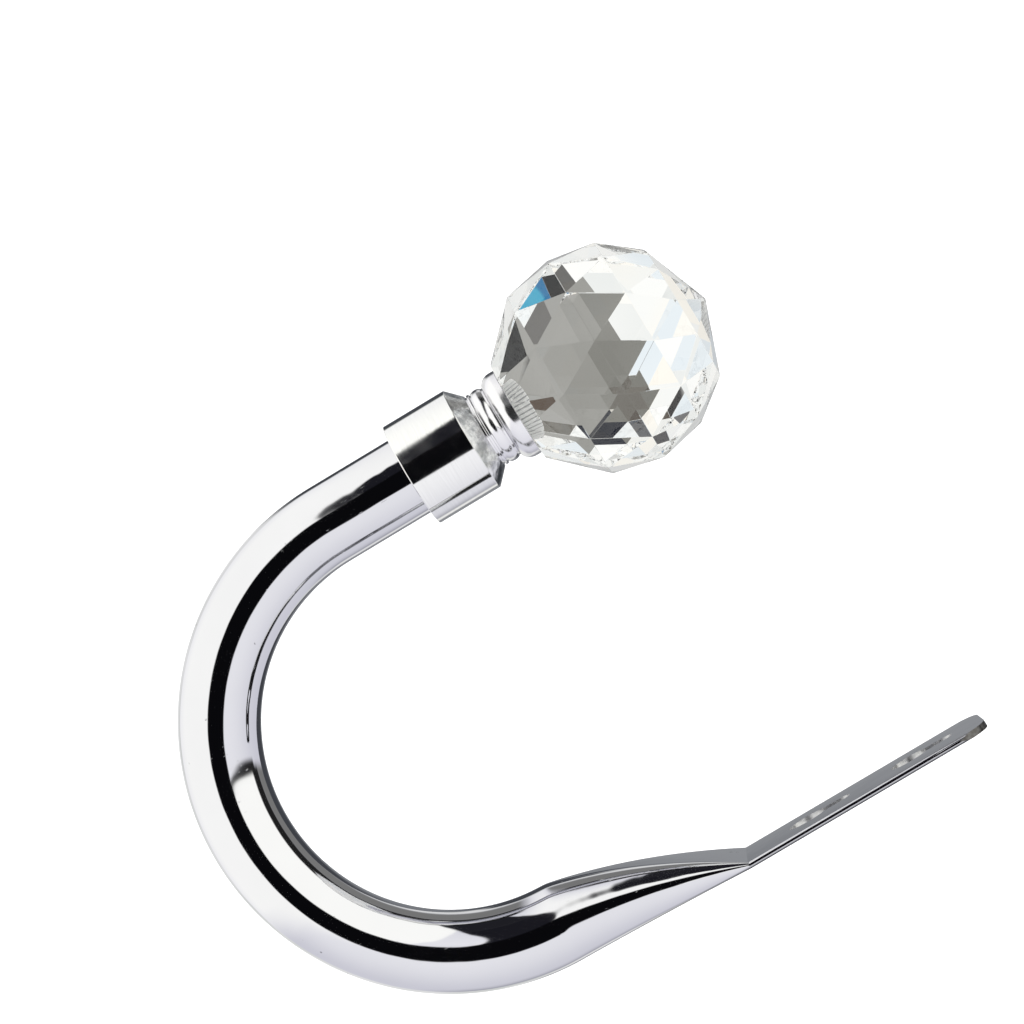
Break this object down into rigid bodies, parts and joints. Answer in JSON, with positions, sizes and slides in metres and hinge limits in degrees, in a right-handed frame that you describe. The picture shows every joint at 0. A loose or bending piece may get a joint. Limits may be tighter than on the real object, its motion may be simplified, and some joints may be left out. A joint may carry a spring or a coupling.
{
  "type": "curtain holdback",
  "caption": "U-shaped curtain holdback: a bent chromed tube pressed flat into a keyholed wall tab, with a brushed ferrule and a faceted glass ball finial. It holds a drawn curtain.",
  "frame": {"origin": "on the wall face of the tab, midway between the round entries of the two keyholes", "axes": "+Y into the wall, +X along the tab towards the bend, +Z square to the plane of the hook"},
  "size_m": [0.126, 0.1067, 0.0398],
  "materials": {
    "chromed_tube": "bright chrome plate, with fine pits and hairline scratches",
    "brushed_ferrule": "bright plate over circumferential turning marks, with a grainy cone",
    "polished_neck": "polished bright plate over a cast and turned blank",
    "plain_steel": "plain turned steel",
    "crystal": "clear polished facets"
  },
  "bodies": {
    "root": {"hook_tube": "chromed_tube", "tube_insert": "plain_steel", "ferrule": "brushed_ferrule", "finial_stud": "plain_steel", "neck_cup": "polished_neck", "crystal_ball": "crystal"}
  },
  "joints": []
}
